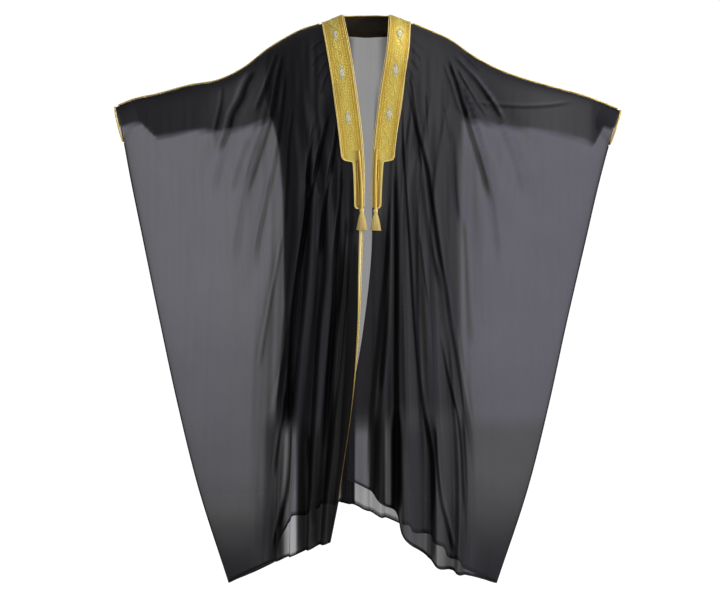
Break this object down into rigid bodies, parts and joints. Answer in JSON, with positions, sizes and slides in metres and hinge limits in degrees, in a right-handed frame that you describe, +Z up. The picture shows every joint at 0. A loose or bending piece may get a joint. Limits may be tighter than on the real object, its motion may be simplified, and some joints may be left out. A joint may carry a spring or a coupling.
{
  "type": "bisht cloak",
  "caption": "Wide sheer black cloak, open in front, with a gold embroidered collar band, cord edges and tassels, as worn with the arms held out.",
  "frame": {"origin": "on the middle plane, in the plane of the shoulder seams, level with the tops of the shoulders beside the neck, which carry the cloak", "axes": "+X towards the wearer's left, +Y towards the wearer's back, +Z up"},
  "size_m": [1.33, 0.3324, 1.5026],
  "materials": {
    "black_voile": "sheer plain weave",
    "gold_zari": "metallic thread embroidery",
    "gold_cord": "metallic thread cord"
  },
  "bodies": {
    "root": {"front_right": "black_voile", "front_left": "black_voile", "back": "black_voile", "collar_right": "gold_zari", "collar_left": "gold_zari", "collar_back": "gold_zari", "neck_piping": "gold_cord", "front_piping_right": "gold_cord", "front_piping_left": "gold_cord", "shoulder_braid_right": "gold_cord", "shoulder_braid_left": "gold_cord", "cuff_piping_right": "gold_cord", "cuff_piping_left": "gold_cord", "tassel_cord_right": "gold_cord", "tassel_cord_left": "gold_cord", "tassel_right": "gold_cord", "tassel_left": "gold_cord"}
  },
  "joints": []
}
